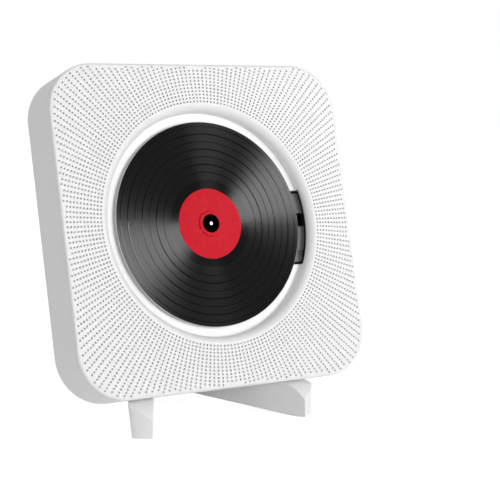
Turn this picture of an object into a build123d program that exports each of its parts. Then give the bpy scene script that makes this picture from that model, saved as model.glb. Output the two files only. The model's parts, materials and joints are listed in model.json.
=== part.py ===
"""Wall-mounted disc player on a crossed desk stand.

The player is modelled upright in a panel frame: x to the right, y into the case from its
front face, z up, with the case's centre at x = z = 0. LEANING then leans it back over the
stand, with +Z up, the front facing -Y and the origin on the table under the middle of the
whole. All lengths are in millimetres.
"""
from build123d import *
from math import acos, atan2, cos, degrees, hypot, pi, radians, sin, sqrt, tan
import os

# ---- Clearances --------------------------------------------------------------------------------
SEAT = 0.05            # between parts that rest on each other
RUNNING = 0.05         # radial, between a shaft and its bore
EASY = 0.25            # round a button or knob in its hole

# ---- Disc --------------------------------------------------------------------------------------
DISC_DIAMETER = 120.0
DISC_HOLE = 15.0
DISC_THICK = 1.2
DISC_DEPTH = 4.6       # front of the disc behind the front face
LABEL_DIAMETER = 41.0
LABEL_THICK = 0.12
STACK_RING = 16.9      # moulded groove in the disc's back
STACK_WIDTH = 0.6
STACK_DEPTH = 0.2
DISC_EDGE = 0.2

# ---- Front panel -------------------------------------------------------------------------------
WELL_MARGIN = 5.5      # floor left visible round the disc
BOWL_EDGE = 5.0        # radius that rolls the face into the well
BAND = 23.7            # flat face between the bowl's edge and the middle of a side
WELL_RISE = 1.0        # disc centre above the case's centre
PANEL_THICK = 2.2
PANEL_EDGE = 1.3
CASE_CORNER = 28.0
RIB_DEPTH = 3.0        # locating rib that enters the case
RIB_THICK = 1.4
GRILLE_SPOKES = 200    # holes round every ring
GRILLE_PITCH = 2.025   # from ring to ring
GRILLE_HOLE = 1.12
GRILLE_START = 0.65    # from the bowl's edge to the middle of the first ring
SOUND_RADIUS = 9.0    # holes that go right through lie this near a speaker's axis

# ---- Case --------------------------------------------------------------------------------------
CASE_DEPTH = 32.4
CASE_WALL = 2.2
CASE_EDGE = 1.2
COVER_THICK = 2.2
COVER_GAP = 0.2
LEDGE = 1.6            # lip in the case that the rear cover lands on
BOSS_RADIUS = 3.2
PILOT_RADIUS = 1.2
SCREW_RADIUS = 1.15
HEAD_RADIUS = 2.6
DRIVE_HEAD = 3.6
HEAD_HEIGHT = 1.5
COVER_SCREW = 9.0      # screw lengths under the head
TRAY_SCREW = 5.0
SPEAKER_SCREW = 3.4
BOARD_SCREW = 4.4
IR_SCREW = 3.6
KEY_SCREW = 6.6
DRIVE_SCREW = 5.5
SIDE_BOSS_DROP = 36.0  # side screws below the case's centre
LOW_BOSS_X = 30.0

# ---- Keyholes and vents in the rear cover ------------------------------------------------------
KEYHOLE_SPAN = 80.0
KEYHOLE_HEIGHT = 58.0
KEYHOLE_HEAD = 8.4
KEYHOLE_SLOT = 4.4
KEYHOLE_RUN = 9.0
KEYHOLE_POCKET = 4.0
VENT_COUNT = 9
VENT_LENGTH = 30.0
VENT_WIDTH = 2.2
VENT_PITCH = 5.0
VENT_HEIGHT = -30.0    # middle of the vents

# ---- Disc tray ---------------------------------------------------------------------------------
TRAY_THICK = 1.8
FLOOR_GAP = 1.4        # under the disc
TRAY_FLANGE = 5.5      # past the well's wall
TRAY_RIB = 1.8
LUG_REACH = 5.5        # tray screw past the flange
LUG_RADIUS = 4.2
SLOT_TOP = 17.7        # drive opening in the floor, from the disc's centre
SLOT_BOTTOM = 27.0
SLOT_REACH = 2.7       # how far the opening goes in under the well's wall
SLOT_CUT = 4.2         # depth from which that wall is cut away over the opening
SLOT_CORNER = 1.5
HUB_CLEARANCE = 2.5

# ---- Hub and spindle motor ---------------------------------------------------------------------
FLANGE_RADIUS = 14.8
FLANGE_THICK = 1.4
BOSS_PROUD = 0.9       # hub boss in front of the disc
CAP_RADIUS = 5.45
CAP_PROUD = 0.4
CAP_DEPTH = 1.1
NECK_RADIUS = 3.2
SHAFT_RADIUS = 1.0
BALL_RADIUS = 0.95
BALL_WALL = 0.35       # in front of the balls
BALL_COUNT = 3
SPINDLE_CAN = 12.2
SPINDLE_LENGTH = 12.0
CAN_EDGE = 0.8

# ---- Drive chassis -----------------------------------------------------------------------------
COVER_PLATE_DROP = 1.0  # drive cover behind the tray floor
COVER_PLATE_THICK = 1.2
COVER_PLATE_GAP = 1.7   # round the plates in the tray's opening
COVER_SKIRT = 1.0
LENS_SLOT = 8.2
NOTCH_WIDTH = 3.4
NOTCH_HEIGHT = 3.2
NOTCH_DROP = 20.2       # notch below the disc's centre
DECK_DEPTH = 10.4
DECK_THICK = 2.0
DECK_RIB = 1.5
DECK_RIB_DEPTH = 2.4
DECK_LEFT = 20.0
DECK_RIGHT = 77.0
DECK_TOP = 30.0
DECK_BOTTOM = 28.0
LEG_LEFT = 18.0
LEG_RIGHT = 50.0
LEG_BOTTOM = 55.5
EAR_RADIUS = 7.0
EARS = [(-14, 33), (54, 32), (-14, -33), (53, -33)]
DAMPER_RADIUS = 4.8
DAMPER_GROOVE = 0.6
DAMPER_FLANGE = 1.25
STUD_RADIUS = 1.9

# ---- Pickup and its gear train -----------------------------------------------------------------
RAIL_DEPTH = 16.5
RAIL_LEFT = 4.0
RAIL_RIGHT = 76.0
RAIL_BLOCK = 4.0
UPPER_RAIL = 24.0
UPPER_RAIL_RADIUS = 1.5
LOWER_RAIL = -20.0
LOWER_RAIL_RADIUS = 1.2
SLED_LEFT = 15.5
SLED_WIDTH = 22.0
SLED_TRAVEL = 34.0
SLED_FLOOR = 18.2
SLED_THICK = 1.5
BUSH_WALL = 1.6        # round the rail
BUSH_FRONT = 1.0
LENS_X = 24.0
LENS_RADIUS = 2.6
LENS_DEPTH = 7.8
GEAR_MODULE = 0.5
BACKLASH = 0.16
RACK_TEETH = 24
PINION_TEETH = 14
WHEEL_TEETH = 48
MOTOR_TEETH = 12
GEAR_X = 41.0
GEAR_Z = -32.0
GEAR_PIN = 0.75
RACK_DEPTH = 15.0
RACK_THICK = 3.2
WHEEL_DEPTH = 20.2
WHEEL_THICK = 1.8
SLED_CAN = 10.0
SLED_CAN_LENGTH = 7.2
SLED_MOTOR_ANGLE = 225.0

# ---- Speakers ----------------------------------------------------------------------------------
SPEAKER_RADIUS = 19.5
SPEAKER_MARGIN = 6.0   # from the case's wall
SPEAKER_DEPTH = 17.0
SPEAKER_LIFT = 0.4     # gasket between the panel and the frame
SPEAKER_FLANGE = 1.2
SURROUND_INSET = 2.2   # frame's rim outside the cone's surround
MAGNET_RADIUS = 14.0
MAGNET_DEPTH = 6.5
MAGNET_EDGE = 0.6

# ---- Boards, jacks and buttons -----------------------------------------------------------------
BOARD_THICK = 1.6
BOARD_DEPTH = 14.0
BOARD_LEFT = -30.0
BOARD_TOP = 76.0
BOARD_BOTTOM = 42.0
BOARD_TAB_LEFT = 79.0
BOARD_TAB_BOTTOM = 4.0
BOARD_EDGE_GAP = 1.6   # from the case's wall
CHIP_THICK = 1.6
CHIPS = [(-6.0, 60.0, 12.0, 12.0), (16.0, 52.0, 9.0, 7.0), (16.0, 65.0, 9.0, 7.0)]
CANS = [(34.0, 50.0, 3.2), (34.0, 60.0, 3.2), (44.0, 50.0, 4.0), (44.0, 64.0, 4.0)]
CAN_GAP = 0.75         # behind the capacitors, to the keyhole pockets
RADIO_X = 60.0
RADIO_Z = 60.0
RADIO_WIDTH = 13.0
RADIO_HEIGHT = 18.0
RADIO_THICK = 0.8
RADIO_SHIELD = 10.0
IR_BOARD_DEPTH = 6.4
IR_BOARD_WIDTH = 28.0
IR_BOARD_HEIGHT = 8.0
IR_SCREW_X = 10.0
IR_WINDOW = 2.2
IR_CASE = 6.0
JACK_LENGTH = 12.0
JACK_RADIUS = 1.8
BARREL_RADIUS = 2.9
JACK_WIDTH = 6.8
JACK_HALF_DEPTH = 2.9
PLUG_DROP = 0.3        # mouth of a socket below the case's outside
USB_HEIGHT = 54.0
USB_DEPTH = 5.7
USB_WIDTH = 13.2
USB_SHEET = 0.3
TONGUE_THICK = 1.8
TONGUE_WIDTH = 11.0
DC_WIDTH = 8.4
DC_RADIUS = 2.3
DC_PIN = 0.8
PORT_GAP = 2.0         # between neighbours on the right side
SWITCH_WIDTH = 12.0
SWITCH_TRAVEL = 3.0
KNOB_WIDTH = 3.0
KNOB_HEIGHT = 4.0
KNOB_CORNER = 0.6
BUTTON_NAMES = ["power_button", "mode_button", "previous_button", "play_button",
                "next_button", "volume_down_button", "volume_up_button"]
BUTTON_PITCH = 15.0
BUTTON_RADIUS = 4.5
BUTTON_PROUD = 1.2
BUTTON_EDGE = 0.5
BUTTON_TRAVEL = 0.6
BUTTON_FLANGE = 1.1
BUTTON_STEM = 1.6
TACT_SIZE = 6.0
TACT_HEIGHT = 3.8
KEY_BOARD_DROP = 7.8   # key board's top below the case's inner wall
KEY_BOARD_WIDTH = 13.0

# ---- Stand -------------------------------------------------------------------------------------
LEAN = 14.0            # player leans back, degrees
CENTRE_HEIGHT = 115.75  # case's centre above the table, at the front face
STAND_ANGLE = 28.0     # each plate from the front-to-back line, degrees
STAND_THICK = 14.0
STAND_DRAFT = 2.4      # thinner at the table than at the seat
STAND_NOSE = 4.0
FOOT_X = 50.5
FOOT_FRONT = 4.0       # foot behind the case's lowest front edge
FOOT_HEIGHT = 10.3
FOOT_FLAT = 6.3
TOE_RADIUS = 20.6
SEAT_START = 18.3      # seat begins this far in from the front face
UPRIGHT = 72.0
UPRIGHT_THICK = 11.0
ARCH_RISE = 6.3
ARCH_START = 50.0
REAR_REACH = 112.0     # rear foot behind the front face's centre
REAR_HEIGHT = 16.0
REAR_FLAT = 9.0
LAP_HEIGHT = 16.5
BACK_GAP = 0.3

# ---- Sizes that follow -------------------------------------------------------------------------
DISC_RADIUS = DISC_DIAMETER / 2
WELL_RADIUS = DISC_RADIUS + WELL_MARGIN
BOWL_RADIUS = WELL_RADIUS + BOWL_EDGE
CASE_SIDE = 2 * (BOWL_RADIUS + BAND)
HALF = CASE_SIDE / 2
INNER = CASE_SIDE - 2 * CASE_WALL
INNER_HALF = INNER / 2
INNER_CORNER = CASE_CORNER - CASE_WALL
COVER_DEPTH = CASE_DEPTH - COVER_THICK
DISC_BACK = DISC_DEPTH + DISC_THICK
TRAY_FLOOR = DISC_BACK + FLOOR_GAP
TRAY_BACK = TRAY_FLOOR + TRAY_THICK
TRAY_RADIUS = WELL_RADIUS + TRAY_FLANGE
LUG_RING = TRAY_RADIUS + LUG_REACH
LUG_ANGLES = (60, 120, 240, 300)
SPEAKER_PLACE = HALF - CASE_WALL - SPEAKER_RADIUS - SPEAKER_MARGIN
BOSS_INSET = LEDGE + COVER_GAP + BOSS_RADIUS
CORNER_BOSS = HALF - CASE_CORNER + (INNER_CORNER - BOSS_INSET) / sqrt(2)
EDGE_BOSS = INNER_HALF - BOSS_INSET
COVER_SCREWS = [(CORNER_BOSS, CORNER_BOSS), (-CORNER_BOSS, CORNER_BOSS),
                (EDGE_BOSS, -SIDE_BOSS_DROP), (-EDGE_BOSS, -SIDE_BOSS_DROP),
                (LOW_BOSS_X, -EDGE_BOSS), (-LOW_BOSS_X, -EDGE_BOSS)]
SPEAKER_EAR = SPEAKER_RADIUS + BOSS_RADIUS + EASY
SPEAKER_FRONT = PANEL_THICK + SPEAKER_LIFT
SPEAKER_BOSS_END = SPEAKER_FRONT + SPEAKER_FLANGE + 1 - SEAT
DECK_BACK = DECK_DEPTH + DECK_THICK
STUD_END = DECK_BACK + DAMPER_FLANGE
HUB_FRONT = DISC_DEPTH - BOSS_PROUD
BOSS_FIT = DISC_HOLE / 2 - 0.08
BALL_DEPTH = HUB_FRONT + BALL_WALL + BALL_RADIUS + SEAT
OPENING_HUB = FLANGE_RADIUS + HUB_CLEARANCE
PLATE_RADIUS = WELL_RADIUS + SLOT_REACH - COVER_PLATE_GAP
PLATE_DEPTH = TRAY_FLOOR + COVER_PLATE_DROP
PLATE_BACK = PLATE_DEPTH + COVER_PLATE_THICK
PINION_RADIUS = GEAR_MODULE * PINION_TEETH / 2
WHEEL_RADIUS = GEAR_MODULE * WHEEL_TEETH / 2
MOTOR_RADIUS = GEAR_MODULE * MOTOR_TEETH / 2
RACK_LINE = GEAR_Z + PINION_RADIUS
CENTRES = WHEEL_RADIUS + MOTOR_RADIUS
SLED_MOTOR = (GEAR_X + CENTRES * cos(radians(SLED_MOTOR_ANGLE)),
              GEAR_Z + CENTRES * sin(radians(SLED_MOTOR_ANGLE)))
BOARD_BACK = BOARD_DEPTH + BOARD_THICK
BOARD_RIGHT = INNER_HALF - BOARD_EDGE_GAP
BOARD_SCREWS = [(BOARD_LEFT + 6, BOARD_TOP - 4), (72, BOARD_TOP - 4), (72, BOARD_BOTTOM + 4)]
BOARD_TRAY_SCREW = (BOARD_LEFT + 6, BOARD_BOTTOM + 4)
JACK_DEPTH = BOARD_BACK + JACK_HALF_DEPTH + 0.3
HEADPHONE_HEIGHT = USB_HEIGHT - (USB_WIDTH + JACK_WIDTH) / 2 - PORT_GAP
AUX_HEIGHT = HEADPHONE_HEIGHT - JACK_WIDTH - PORT_GAP
DC_HEIGHT = AUX_HEIGHT - (JACK_WIDTH + DC_WIDTH) / 2 - PORT_GAP
SWITCH_HEIGHT = DC_HEIGHT - (DC_WIDTH + SWITCH_WIDTH) / 2 - PORT_GAP
CAN_TOP = COVER_DEPTH - KEYHOLE_POCKET - PANEL_THICK - CAN_GAP
BUTTON_DEPTH = CASE_DEPTH / 2
BUTTON_XS = [BUTTON_PITCH * (i - (len(BUTTON_NAMES) - 1) / 2) for i in range(len(BUTTON_NAMES))]
KEY_BOARD_TOP = INNER_HALF - KEY_BOARD_DROP
KEY_BOARD_HALF = BUTTON_XS[-1] + BUTTON_PITCH
COS_LEAN = cos(radians(LEAN))
SIN_LEAN = sin(radians(LEAN))
CASE_FRONT = -HALF * SIN_LEAN + PANEL_EDGE * (COS_LEAN + SIN_LEAN - 1)
MIDDLE = (CASE_FRONT + REAR_REACH) / 2
FOOT_Y = -HALF * SIN_LEAN + FOOT_FRONT
STAND_LENGTH = (REAR_REACH - FOOT_Y) / cos(radians(STAND_ANGLE)) + STAND_THICK
RIGHT_TOE = Pos(FOOT_X, FOOT_Y, 0) * Rot(0, 0, STAND_ANGLE)

LEANING = Pos(0, -MIDDLE, CENTRE_HEIGHT) * Rot(-LEAN, 0, 0)
STANDING = Pos(0, -MIDDLE, 0)
RISE = Pos(0, 0, WELL_RISE)


# ---- Drawing helpers ---------------------------------------------------------------------------
def slab(sketch, near, far):
    """A sketch drawn in x and z, as a solid from depth `near` to depth `far`."""
    return extrude(Plane.XZ.offset(-far) * sketch, far - near)


def tower(sketch, low, high):
    """A sketch drawn in x and depth, as a solid from height `low` to height `high`."""
    return extrude(Plane.XY.offset(low) * sketch, high - low)


def beam(sketch, left, right):
    """A sketch drawn in depth and z, as a solid from x `left` to x `right`."""
    return extrude(Plane.YZ.offset(left) * sketch, right - left)


def post(place, radius, near, far):
    """A round post along the depth, at an (x, z) place."""
    return slab(Pos(*place) * Circle(radius), near, far)


def block(left, right, bottom, top):
    """A rectangle by its four sides."""
    return Pos((left + right) / 2, (bottom + top) / 2) * Rectangle(right - left, top - bottom)


def turned(points):
    """A solid of revolution about the depth axis, from (radius, depth) points."""
    return revolve(make_face(Polyline(*points, close=True)), Axis.Y)


def on_ring(radius, angle):
    return radius * cos(radians(angle)), radius * sin(radians(angle))


def screw(place, seat, length, head=HEAD_RADIUS):
    """A pan-head screw driven towards the front, whose head sits on depth `seat`."""
    return post(place, head, seat, seat + HEAD_HEIGHT) + post(place, SCREW_RADIUS, seat - length, seat)


def group(parts):
    """Loose solids of one kind that share a node."""
    return Compound([solid for part in parts for solid in part.solids()])


# ---- Casing ------------------------------------------------------------------------------------
def grille_places():
    """Centres of all the grille holes, ring by ring, about the disc's centre."""
    ring = BOWL_RADIUS + GRILLE_START
    while ring < HALF * sqrt(2):
        for spoke in range(GRILLE_SPOKES):
            yield on_ring(ring, 360 * (spoke + 0.5) / GRILLE_SPOKES)
        ring += GRILLE_PITCH


def sound_holes():
    """The holes in front of the two speakers, which go right through."""
    places = [(x, z) for x, z in grille_places() if z < 0
              and hypot(abs(x) - SPEAKER_PLACE, z + WELL_RISE + SPEAKER_PLACE) < SOUND_RADIUS]
    hole = RegularPolygon(GRILLE_HOLE / 2, 6)
    return Sketch() + [Pos(x, z + WELL_RISE) * Rot(0, 0, degrees(atan2(z, x))) * hole
                       for x, z in places]


def bowl():
    """The rolled edge and wall of the disc's well."""
    inside = WELL_RADIUS + PANEL_THICK
    end = TRAY_FLOOR - SEAT
    centre = (BOWL_RADIUS, BOWL_EDGE)
    roll = BOWL_EDGE * sqrt(0.5)
    back_roll = (BOWL_EDGE - PANEL_THICK) * sqrt(0.5)
    profile = [ThreePointArc((BOWL_RADIUS, 0), (centre[0] - roll, centre[1] - roll),
                             (WELL_RADIUS, BOWL_EDGE)),
               Polyline((WELL_RADIUS, BOWL_EDGE), (WELL_RADIUS, end), (inside, end),
                        (inside, BOWL_EDGE)),
               ThreePointArc((inside, BOWL_EDGE), (centre[0] - back_roll, centre[1] - back_roll),
                             (BOWL_RADIUS, PANEL_THICK)),
               Line((BOWL_RADIUS, PANEL_THICK), (BOWL_RADIUS, 0))]
    return revolve(make_face(Curve() + profile), Axis.Y)


def front_panel():
    outline = RectangleRounded(CASE_SIDE, CASE_SIDE, CASE_CORNER)
    panel = slab(outline, 0, PANEL_THICK)
    panel = fillet(panel.faces().sort_by(Axis.Y)[0].edges(), PANEL_EDGE)
    panel -= slab(Pos(0, WELL_RISE) * Circle(BOWL_RADIUS), -1, PANEL_THICK + 1)
    panel += RISE * bowl()
    panel -= RISE * slab(slot_outline(), SLOT_CUT, TRAY_FLOOR)
    rib_outer = INNER - 2 * COVER_GAP
    rib = RectangleRounded(rib_outer, rib_outer, INNER_CORNER - COVER_GAP)
    rib -= RectangleRounded(rib_outer - 2 * RIB_THICK, rib_outer - 2 * RIB_THICK,
                            INNER_CORNER - COVER_GAP - RIB_THICK)
    panel += slab(rib, PANEL_THICK, PANEL_THICK + RIB_DEPTH)
    bosses = [(place, COVER_DEPTH - SEAT) for place in COVER_SCREWS]
    bosses += [(place, BOARD_DEPTH - SEAT) for place in BOARD_SCREWS]
    bosses += [(lug_place(angle), TRAY_FLOOR - SEAT) for angle in LUG_ANGLES]
    bosses += [(place, IR_BOARD_DEPTH - SEAT) for place in ir_screw_places()]
    for place, end in bosses:
        panel += post(place, BOSS_RADIUS, PANEL_THICK, end)
    for place, end in bosses:
        panel -= post(place, PILOT_RADIUS, PANEL_THICK, end + 1)
    for place in speaker_screw_places():
        panel += post(place, BOSS_RADIUS, PANEL_THICK, SPEAKER_BOSS_END)
        panel -= post(place, PILOT_RADIUS, PANEL_THICK, SPEAKER_BOSS_END + 1)
    return panel - slab(sound_holes(), -1, PANEL_THICK + 1)


def lug_place(angle):
    x, z = on_ring(LUG_RING, angle)
    return x, z + WELL_RISE


def case_frame():
    outline = RectangleRounded(CASE_SIDE, CASE_SIDE, CASE_CORNER)
    cavity = RectangleRounded(INNER, INNER, INNER_CORNER)
    frame = slab(outline, PANEL_THICK + SEAT, CASE_DEPTH)
    frame = fillet(frame.faces().sort_by(Axis.Y)[-1].edges(), CASE_EDGE)
    frame -= slab(cavity, 0, CASE_DEPTH + 1)
    ledge = cavity - RectangleRounded(INNER - 2 * LEDGE, INNER - 2 * LEDGE, INNER_CORNER - LEDGE)
    frame += slab(ledge, COVER_DEPTH - SEAT - LEDGE, COVER_DEPTH - SEAT)
    for x in (-KEY_BOARD_HALF + BOSS_RADIUS, KEY_BOARD_HALF - BOSS_RADIUS):
        boss = Pos(x, BUTTON_DEPTH) * Circle(BOSS_RADIUS)
        frame += tower(boss, KEY_BOARD_TOP + SEAT, INNER_HALF)
        pilot = Pos(x, BUTTON_DEPTH) * Circle(PILOT_RADIUS)
        frame -= tower(pilot, KEY_BOARD_TOP, INNER_HALF - 1)
    for x in BUTTON_XS:
        hole = Pos(x, BUTTON_DEPTH) * Circle(BUTTON_RADIUS + EASY)
        frame -= tower(hole, INNER_HALF - 1, HALF + 1)
    return frame - beam(port_holes(), INNER_HALF - 1, HALF + 1)


def port_holes():
    """The openings in the right wall, drawn in depth and z."""
    barrel = Circle(BARREL_RADIUS + EASY)
    holes = [Pos(JACK_DEPTH, z) * barrel for z in (HEADPHONE_HEIGHT, AUX_HEIGHT, DC_HEIGHT)]
    holes.append(Pos(JACK_DEPTH, USB_HEIGHT) * RectangleRounded(*usb_shell(2 * EASY), 0.6))
    holes.append(Pos(JACK_DEPTH, SWITCH_HEIGHT) * knob_room())
    return Sketch() + holes


def keyhole_places():
    return [(-KEYHOLE_SPAN / 2, KEYHOLE_HEIGHT), (KEYHOLE_SPAN / 2, KEYHOLE_HEIGHT)]


def rear_cover():
    side = INNER - 2 * COVER_GAP
    outline = RectangleRounded(side, side, INNER_CORNER - COVER_GAP)
    cover = slab(outline, COVER_DEPTH, CASE_DEPTH)
    keyhole = Circle(KEYHOLE_HEAD / 2)
    keyhole += Pos(0, KEYHOLE_RUN / 2) * Rectangle(KEYHOLE_SLOT, KEYHOLE_RUN)
    keyhole += Pos(0, KEYHOLE_RUN) * Circle(KEYHOLE_SLOT / 2)
    run = KEYHOLE_RUN + KEYHOLE_HEAD
    wall = PANEL_THICK
    for place in keyhole_places():
        middle = Pos(place[0], place[1] + KEYHOLE_RUN / 2)
        shell = middle * RectangleRounded(KEYHOLE_HEAD + 2 * wall, run + 2 * wall, 3)
        pocket = middle * RectangleRounded(KEYHOLE_HEAD + 1, run + 1, 2)
        cover += slab(shell, COVER_DEPTH - KEYHOLE_POCKET - wall, COVER_DEPTH)
        cover -= slab(pocket, COVER_DEPTH - KEYHOLE_POCKET, COVER_DEPTH)
        cover -= slab(Pos(*place) * keyhole, COVER_DEPTH - 1, CASE_DEPTH + 1)
    for place in COVER_SCREWS:
        cover -= post(place, SCREW_RADIUS + EASY, COVER_DEPTH - 1, CASE_DEPTH + 1)
        cover -= post(place, HEAD_RADIUS + EASY, CASE_DEPTH - HEAD_HEIGHT + SEAT, CASE_DEPTH + 1)
    vents = Sketch() + [Pos(0, VENT_HEIGHT + VENT_PITCH * (i - (VENT_COUNT - 1) / 2))
                        * SlotOverall(VENT_LENGTH, VENT_WIDTH) for i in range(VENT_COUNT)]
    return cover - slab(vents, COVER_DEPTH - 1, CASE_DEPTH + 1)


def case_screws():
    seat = CASE_DEPTH - HEAD_HEIGHT + SEAT
    return group([screw(place, seat, COVER_SCREW) for place in COVER_SCREWS])


def disc_tray():
    floor = Circle(TRAY_RADIUS)
    for angle in LUG_ANGLES:
        lug = SlotCenterToCenter(2 * LUG_REACH, 2 * LUG_RADIUS)
        floor += Rot(0, 0, angle) * Pos(LUG_RING - LUG_REACH, 0) * lug
    tray = slab(floor, TRAY_FLOOR, TRAY_BACK)
    rim = Circle(TRAY_RADIUS) - Circle(TRAY_RADIUS - TRAY_RIB)
    tray += slab(rim, TRAY_BACK, DECK_DEPTH - EASY)
    for ear in EARS:
        tray += post(ear, STUD_RADIUS, TRAY_BACK, STUD_END)
    board_post = (BOARD_TRAY_SCREW[0], BOARD_TRAY_SCREW[1] - WELL_RISE)
    tray += post(board_post, BOSS_RADIUS, TRAY_BACK, BOARD_DEPTH - SEAT)
    tray -= slab(drive_opening(), TRAY_FLOOR - 1, TRAY_BACK + 1)
    tray -= post(board_post, PILOT_RADIUS, TRAY_BACK, BOARD_DEPTH)
    for ear in EARS:
        tray -= post(ear, PILOT_RADIUS, TRAY_FLOOR + 1, STUD_END + 1)
    for angle in LUG_ANGLES:
        tray -= post(on_ring(LUG_RING, angle), SCREW_RADIUS + EASY, TRAY_FLOOR - 1, TRAY_BACK + 1)
    return RISE * tray


def slot_outline():
    """The pickup's part of the drive opening, which ends under the well's wall."""
    edge = WELL_RADIUS + SLOT_REACH
    slot = block(0, edge, -SLOT_BOTTOM, SLOT_TOP) & Circle(edge)
    return fillet(slot.vertices().sort_by(Axis.X)[-2:], SLOT_CORNER)


def drive_opening():
    """The cut-out in the tray's floor for the hub and the pickup."""
    return Circle(OPENING_HUB) + slot_outline()


def tray_screws():
    return group([screw(lug_place(angle), TRAY_BACK + SEAT, TRAY_SCREW) for angle in LUG_ANGLES])


# ---- Speakers ----------------------------------------------------------------------------------
def speaker_screw_places():
    across = SPEAKER_EAR * sqrt(0.5)
    return [(side * (SPEAKER_PLACE + way * across), -SPEAKER_PLACE + way * across)
            for side in (-1, 1) for way in (-1, 1)]


def speaker_frame(side):
    """Basket with a seat for the cone, four windows and two screw ears."""
    rim, ledge = SPEAKER_RADIUS, SPEAKER_RADIUS - SURROUND_INSET - 1.7
    neck = MAGNET_RADIUS - 1.5
    seat = SPEAKER_FRONT + SPEAKER_FLANGE
    bottom = SPEAKER_DEPTH - MAGNET_DEPTH
    basket = turned([(rim - SURROUND_INSET, SPEAKER_FRONT), (rim, SPEAKER_FRONT), (rim, seat + 1),
                     (ledge + 1.2, seat + 1), (neck + 1.2, bottom), (0.8, bottom),
                     (0.8, bottom - 1.2), (neck, bottom - 1.2), (ledge, seat + 1),
                     (ledge, seat + SEAT), (rim - SURROUND_INSET, seat + SEAT)])
    for angle in range(0, 360, 90):
        basket -= Rot(0, angle, 0) * Pos(neck + 2.4, bottom - 3.4, 0) * Box(9, 3.6, 8)
    frame = Pos(side * SPEAKER_PLACE, 0, -SPEAKER_PLACE) * basket
    for x, z in speaker_screw_places():
        if x * side > 0:
            frame += speaker_ear(side, x, z)
            frame -= post((x, z), BOSS_RADIUS + EASY, SPEAKER_FRONT, SPEAKER_BOSS_END)
            frame -= post((x, z), SCREW_RADIUS + EASY, SPEAKER_BOSS_END, SPEAKER_DEPTH)
    return frame


def speaker_ear(side, x, z):
    """A screw ear that reaches from the frame's rim to one screw."""
    way = 1 if z > -SPEAKER_PLACE else -1
    inward = BOSS_RADIUS * sqrt(0.5)
    ear = Pos(x, z) * Circle(BOSS_RADIUS)
    root = Pos(x - side * way * inward, z - way * inward) * Rot(0, 0, 45 * side)
    ear += root * Rectangle(2 * BOSS_RADIUS, 2 * BOSS_RADIUS)
    return slab(ear, SPEAKER_BOSS_END + SEAT, SPEAKER_BOSS_END + SPEAKER_FLANGE)


def speaker_cone(side):
    rim = SPEAKER_RADIUS - SURROUND_INSET - SEAT
    seat = SPEAKER_FRONT + SPEAKER_FLANGE
    bottom = SPEAKER_DEPTH - MAGNET_DEPTH - 2.4
    cone = turned([(0.01, bottom - 3.2), (3.4, bottom - 2.4), (4.8, bottom - 1.0),
                   (rim - 3.6, seat + 0.2), (rim - 2.4, seat - 0.7), (rim - 1.2, seat - 0.4),
                   (rim, seat - 0.4), (rim, seat), (rim - 1.8, seat), (rim - 3.8, seat + 0.9),
                   (4.8, bottom), (0.01, bottom)])
    return Pos(side * SPEAKER_PLACE, 0, -SPEAKER_PLACE) * cone


def speaker_magnet(side):
    front = SPEAKER_DEPTH - MAGNET_DEPTH + SEAT
    magnet = post((side * SPEAKER_PLACE, -SPEAKER_PLACE), MAGNET_RADIUS, front,
                  front + MAGNET_DEPTH)
    return chamfer(magnet.edges().filter_by(GeomType.CIRCLE), MAGNET_EDGE)


def speaker_screws():
    seat = SPEAKER_BOSS_END + SPEAKER_FLANGE + SEAT
    return group([screw(place, seat, SPEAKER_SCREW) for place in speaker_screw_places()])


# ---- Boards and connectors ---------------------------------------------------------------------
def main_board():
    outline = block(BOARD_LEFT, BOARD_RIGHT, BOARD_BOTTOM, BOARD_TOP)
    outline += block(BOARD_TAB_LEFT, BOARD_RIGHT, BOARD_TAB_BOTTOM, BOARD_BOTTOM)
    side = INNER - 2 * BOARD_EDGE_GAP
    outline &= RectangleRounded(side, side, INNER_CORNER - BOARD_EDGE_GAP)
    outline -= Pos(CORNER_BOSS, CORNER_BOSS) * Circle(BOSS_RADIUS + BOARD_EDGE_GAP)
    for place in BOARD_SCREWS + [BOARD_TRAY_SCREW]:
        outline -= Pos(*place) * Circle(SCREW_RADIUS + EASY)
    return slab(outline, BOARD_DEPTH, BOARD_BACK)


def board_screws():
    places = BOARD_SCREWS + [BOARD_TRAY_SCREW]
    return group([screw(place, BOARD_BACK + SEAT, BOARD_SCREW) for place in places])


def board_chips():
    near = BOARD_BACK + SEAT
    return group([slab(Pos(x, z) * Rectangle(width, height), near, near + CHIP_THICK)
                  for x, z, width, height in CHIPS])


def board_capacitors():
    cans = [post((x, z), radius, BOARD_BACK + SEAT, CAN_TOP) for x, z, radius in CANS]
    return group(cans)


def bluetooth_module():
    near = BOARD_BACK + SEAT
    board = slab(Pos(RADIO_X, RADIO_Z) * Rectangle(RADIO_WIDTH, RADIO_HEIGHT), near, near + RADIO_THICK)
    shield = Pos(RADIO_X, RADIO_Z - RADIO_SHIELD / 3) * Rectangle(RADIO_SHIELD, RADIO_SHIELD)
    return board + slab(shield, near + RADIO_THICK, near + RADIO_THICK + CHIP_THICK)


def connector_body(height, width):
    """A moulded box behind the wall with its mouth towards +x."""
    outline = Pos(JACK_DEPTH, height) * Rectangle(2 * JACK_HALF_DEPTH, width)
    return beam(outline, INNER_HALF - SEAT - JACK_LENGTH, INNER_HALF - SEAT)


def round_jack(height, bore, width=JACK_WIDTH):
    body = connector_body(height, width)
    middle = Pos(JACK_DEPTH, height)
    body += beam(middle * Circle(BARREL_RADIUS), INNER_HALF - SEAT, HALF - PLUG_DROP)
    return body - beam(middle * Circle(bore), INNER_HALF - JACK_LENGTH + 1, HALF)


def dc_jack():
    body = round_jack(DC_HEIGHT, DC_RADIUS, DC_WIDTH)
    pin = Pos(JACK_DEPTH, DC_HEIGHT) * Circle(DC_PIN)
    return body + beam(pin, INNER_HALF - JACK_LENGTH + 0.5, HALF - 1.2)


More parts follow.
